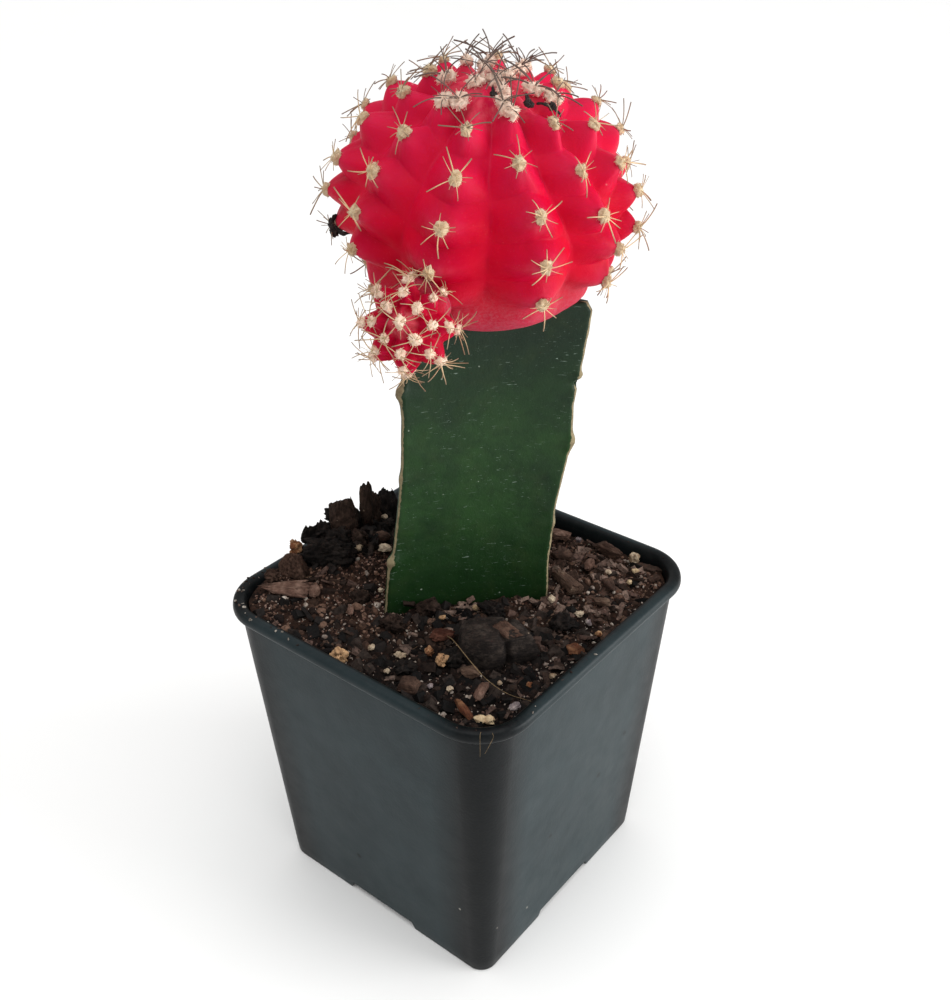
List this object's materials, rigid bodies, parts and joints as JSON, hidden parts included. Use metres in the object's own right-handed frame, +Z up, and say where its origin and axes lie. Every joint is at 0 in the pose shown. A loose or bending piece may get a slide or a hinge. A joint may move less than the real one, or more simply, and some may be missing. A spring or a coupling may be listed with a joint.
{
  "type": "potted moon cactus",
  "caption": "Ribbed red ball cactus with a small offset, grafted on a three-ribbed green rootstock in a square black nursery pot of bark and grit mix.",
  "frame": {"origin": "on the ground under the centre of the square pot", "axes": "+Z up, X and Y along the pot's sides; the stem's flat face looks between +X and -Y"},
  "size_m": [0.064, 0.0669, 0.1586],
  "materials": {
    "pot_plastic": "satin",
    "potting_mix": "matte",
    "stem_skin": "satin",
    "ball_skin": "satin",
    "spines": "matte",
    "bark": "matte",
    "dark_bark": "matte",
    "orange_bark": "matte",
    "grit": "matte",
    "dried_remnant": "matte"
  },
  "bodies": {
    "root": {"apex_crown": "spines", "areole_a1": "spines", "areole_a2": "spines", "areole_a3": "spines", "areole_b2": "spines", "areole_b3": "spines", "areole_b4": "spines", "areole_c2": "spines", "areole_c3": "spines", "areole_c4": "spines", "areole_d2": "spines", "areole_d3": "spines", "areole_d4": "spines", "areole_e2": "spines", "areole_e4": "spines", "areole_f3": "spines", "areole_f5": "spines", "areole_g1": "spines", "areole_g4": "spines", "areole_h3": "spines", "areole_h5": "spines", "areole_i2": "spines", "areole_i4": "spines", "areole_j1": "spines", "areole_j2": "spines", "areole_j3": "spines", "areole_k2": "spines", "areole_k3": "spines", "areole_k4": "spines", "bark_chip_front": "bark", "bark_chip_left": "bark", "bark_chip_middle": "bark", "bark_chip_orange": "orange_bark", "bark_chunk_dark": "dark_bark", "bark_clump_dark": "dark_bark", "bark_flake_pink": "bark", "bark_lump_black": "dark_bark", "bark_nodule_orange": "orange_bark", "bark_strip_back": "bark", "bark_strip_lower": "bark", "bark_strip_upper": "bark", "bark_upright_stick": "bark", "bark_upright_wide": "bark", "cactus_ball": "ball_skin", "cactus_offset": "ball_skin", "flower_remnant_side": "dried_remnant", "flower_remnant_top": "dried_remnant", "grit_cream_1": "grit", "grit_cream_2": "grit", "grit_cream_3": "grit", "grit_cream_4": "grit", "grit_cream_5": "grit", "grit_grey": "grit", "perlite_pair": "grit", "pot": "pot_plastic", "potting_mix": "potting_mix", "rootstock_stem": "stem_skin", "twig_orange": "orange_bark"}
  },
  "joints": []
}
